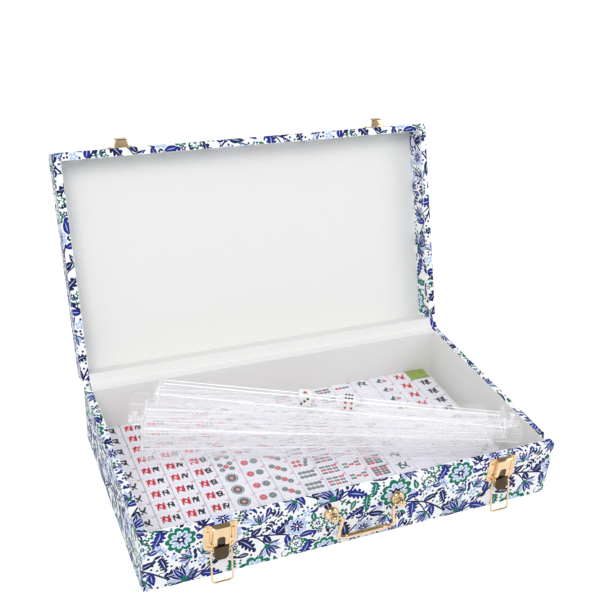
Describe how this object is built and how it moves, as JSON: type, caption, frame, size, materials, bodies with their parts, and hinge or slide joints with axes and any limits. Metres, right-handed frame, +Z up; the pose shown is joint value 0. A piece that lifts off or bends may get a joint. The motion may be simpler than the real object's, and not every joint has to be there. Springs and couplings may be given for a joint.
{
  "type": "mahjong case",
  "caption": "Hinged paper-covered carrying case with draw latches and a drop handle, packed with tiles, clear racks and dice.",
  "frame": {"origin": "centre of the tray's underside, on the surface that it stands on", "axes": "+X along the case's length to the right of the latch side, +Y from the latch side to the hinge side, +Z up"},
  "size_m": [0.512, 0.4385, 0.3522],
  "materials": {
    "printed_paper": "satin print",
    "plain_paper": "matt, faint linen grain",
    "board": "matt",
    "brass": "polished",
    "tile": "polished",
    "clear_acrylic": "polished, clear",
    "dice": "polished"
  },
  "bodies": {
    "tray": {"tray_cover": "printed_paper", "tray_base_sheet": "plain_paper", "tray_floor_lining": "plain_paper", "tray_wall_lining": "plain_paper", "tray_floor_board": "board", "tray_front_board": "board", "tray_back_board": "board", "tray_left_board": "board", "tray_right_board": "board", "tray_hinge_leaves": "brass", "tray_hinge_rivets": "brass", "hinge_pins": "brass", "latch_bases": "brass", "latch_base_rivets": "brass", "latch_lever_pins": "brass", "handle_posts": "brass", "tiles_winds": "tile", "tiles_characters": "tile", "tiles_dots": "tile", "tiles_bamboo": "tile", "tiles_dragons": "tile", "tiles_flowers": "tile", "tiles_jokers": "tile", "tiles_blank": "tile", "tile_face_down": "tile"},
    "lid": {"lid_cover": "printed_paper", "lid_panel_lining": "plain_paper", "lid_wall_lining": "plain_paper", "lid_panel_board": "board", "lid_front_board": "board", "lid_back_board": "board", "lid_left_board": "board", "lid_right_board": "board", "lid_hinge_leaves": "brass", "lid_hinge_rivets": "brass", "catches": "brass", "catch_rivets": "brass"},
    "left_lever": {"latch_lever_left": "brass"},
    "right_lever": {"latch_lever_right": "brass"},
    "left_loop": {"latch_loop_left": "brass"},
    "right_loop": {"latch_loop_right": "brass"},
    "handle": {"handle_bail": "brass"},
    "rack_1": {"rack_1_body": "clear_acrylic", "rack_1_end_plates": "clear_acrylic", "rack_1_pusher_pin": "clear_acrylic"},
    "rack_1_pusher_arm": {"rack_1_pusher": "clear_acrylic"},
    "rack_2": {"rack_2_body": "clear_acrylic", "rack_2_end_plates": "clear_acrylic", "rack_2_pusher_pin": "clear_acrylic"},
    "rack_2_pusher_arm": {"rack_2_pusher": "clear_acrylic"},
    "rack_3": {"rack_3_body": "clear_acrylic", "rack_3_end_plates": "clear_acrylic", "rack_3_pusher_pin": "clear_acrylic"},
    "rack_3_pusher_arm": {"rack_3_pusher": "clear_acrylic"},
    "rack_4": {"rack_4_body": "clear_acrylic", "rack_4_end_plates": "clear_acrylic", "rack_4_pusher_pin": "clear_acrylic"},
    "rack_4_pusher_arm": {"rack_4_pusher": "clear_acrylic"},
    "left_die": {"die_left": "dice"},
    "right_die": {"die_right": "dice"}
  },
  "joints": [
    {"name": "lid_hinge", "type": "hinge", "parent": "tray", "child": "lid", "pos_m": [0, 0.1459, 0.07515], "axis": [1, 0, 0], "range_deg": [0, 111.4]},
    {"name": "left_lever_pivot", "type": "hinge", "parent": "tray", "child": "left_lever", "pos_m": [-0.171, -0.146, 0.0435], "axis": [1, 0, 0], "range_deg": [-115, 0]},
    {"name": "left_loop_pivot", "type": "hinge", "parent": "left_lever", "child": "left_loop", "pos_m": [-0.171, -0.1465, 0.0395], "axis": [-1, 0, 0], "range_deg": [0, 168.5]},
    {"name": "right_lever_pivot", "type": "hinge", "parent": "tray", "child": "right_lever", "pos_m": [0.181, -0.146, 0.0435], "axis": [1, 0, 0], "range_deg": [-115, 0]},
    {"name": "right_loop_pivot", "type": "hinge", "parent": "right_lever", "child": "right_loop", "pos_m": [0.181, -0.1465, 0.0395], "axis": [-1, 0, 0], "range_deg": [0, 168.5]},
    {"name": "handle_swing", "type": "hinge", "parent": "tray", "child": "handle", "pos_m": [0, -0.153, 0.051], "axis": [-1, 0, 0], "range_deg": [0, 170]},
    {"name": "rack_1_lift", "type": "slide", "parent": "tray", "child": "rack_1", "axis": [0, 0, -1], "range_m": [-0.075, 0]},
    {"name": "rack_1_pusher_swing", "type": "hinge", "parent": "rack_1", "child": "rack_1_pusher_arm", "pos_m": [0.22363, -0.0476, 0.0151], "axis": [0, 0, -1], "range_deg": [-20, 0]},
    {"name": "rack_2_lift", "type": "slide", "parent": "rack_1", "child": "rack_2", "axis": [0, 0, -1], "range_m": [-0.075, 0]},
    {"name": "rack_2_pusher_swing", "type": "hinge", "parent": "rack_2", "child": "rack_2_pusher_arm", "pos_m": [0.22459, -0.05323, 0.0332], "axis": [0, 0, -1], "range_deg": [-20, 0]},
    {"name": "rack_3_lift", "type": "slide", "parent": "rack_2", "child": "rack_3", "axis": [0, 0, -1], "range_m": [-0.075, 0]},
    {"name": "rack_3_pusher_swing", "type": "hinge", "parent": "rack_3", "child": "rack_3_pusher_arm", "pos_m": [-0.20629, 0.08079, 0.0513], "axis": [0, 0, -1], "range_deg": [-20, 0]},
    {"name": "rack_4_lift", "type": "slide", "parent": "rack_3", "child": "rack_4", "axis": [0, 0, -1], "range_m": [-0.075, 0]},
    {"name": "rack_4_pusher_swing", "type": "hinge", "parent": "rack_4", "child": "rack_4_pusher_arm", "pos_m": [0.22779, -0.08797, 0.0694], "axis": [0, 0, -1], "range_deg": [-90, 0]},
    {"name": "left_die_lift", "type": "slide", "parent": "rack_4", "child": "left_die", "axis": [0, 0, -1], "range_m": [-0.03, 0]},
    {"name": "right_die_lift", "type": "slide", "parent": "rack_4", "child": "right_die", "axis": [0, 0, -1], "range_m": [-0.03, 0]}
  ]
}
